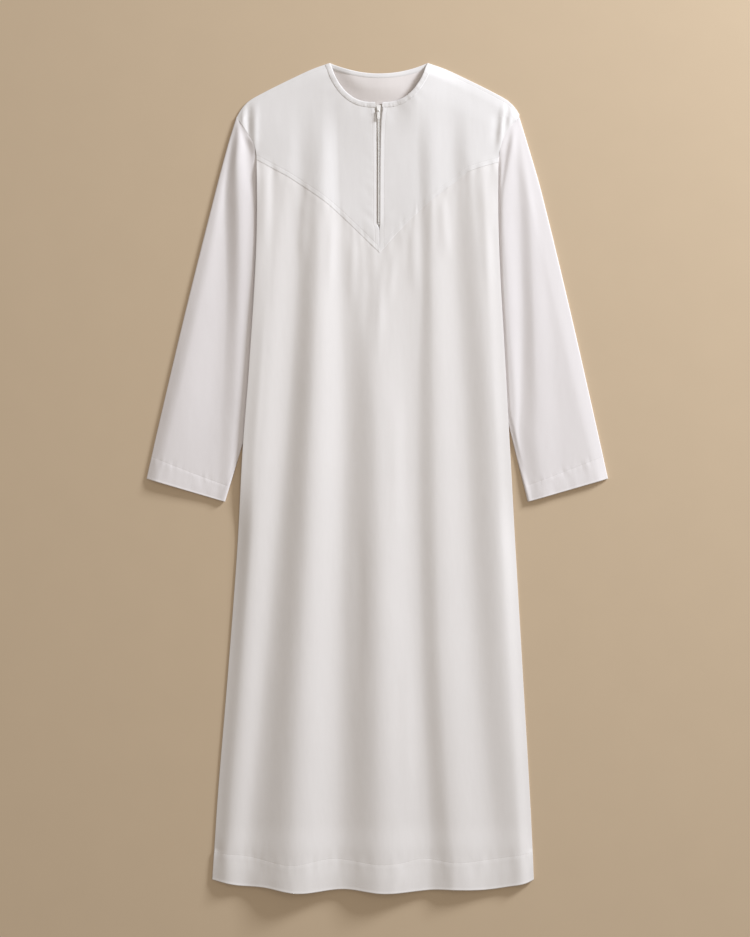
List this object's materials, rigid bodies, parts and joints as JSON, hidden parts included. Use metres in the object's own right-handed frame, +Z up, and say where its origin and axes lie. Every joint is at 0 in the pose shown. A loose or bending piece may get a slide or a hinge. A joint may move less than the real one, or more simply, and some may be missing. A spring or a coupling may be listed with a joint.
{
  "type": "thobe robe laid flat",
  "caption": "Long plain ankle-length robe laid flat on its back, with long sleeves, a V-shaped front yoke, a round bound neck and a short front zip.",
  "frame": {"origin": "on the surface that the robe lies on, in the middle of its box", "axes": "+X towards the sleeve on the right as seen from above, +Y towards the neck, +Z up off the surface"},
  "size_m": [0.8188, 1.4753, 0.0248],
  "materials": {
    "cloth": "matte smooth fine plain weave",
    "binding": "matte folded strip of the same cloth",
    "tape": "woven zip tape",
    "coil": "nylon coil",
    "enamel": "white enamel, semi-gloss"
  },
  "bodies": {
    "garment": {"back_panel": "cloth", "front_skirt": "cloth", "yoke_left": "cloth", "yoke_right": "cloth", "sleeve_left": "cloth", "sleeve_right": "cloth", "neck_binding_left": "binding", "neck_binding_right": "binding", "neck_binding_back": "binding", "zip_tape_left": "tape", "zip_tape_right": "tape", "zip_chain": "coil", "zip_slider": "enamel"},
    "pull": {"zip_pull": "enamel"}
  },
  "joints": [
    {"name": "pull_swing", "type": "hinge", "parent": "garment", "child": "pull", "pos_m": [0.0024, 0.6515, 0.01203], "axis": [-1, 0, 0], "range_deg": [0, 170]}
  ]
}
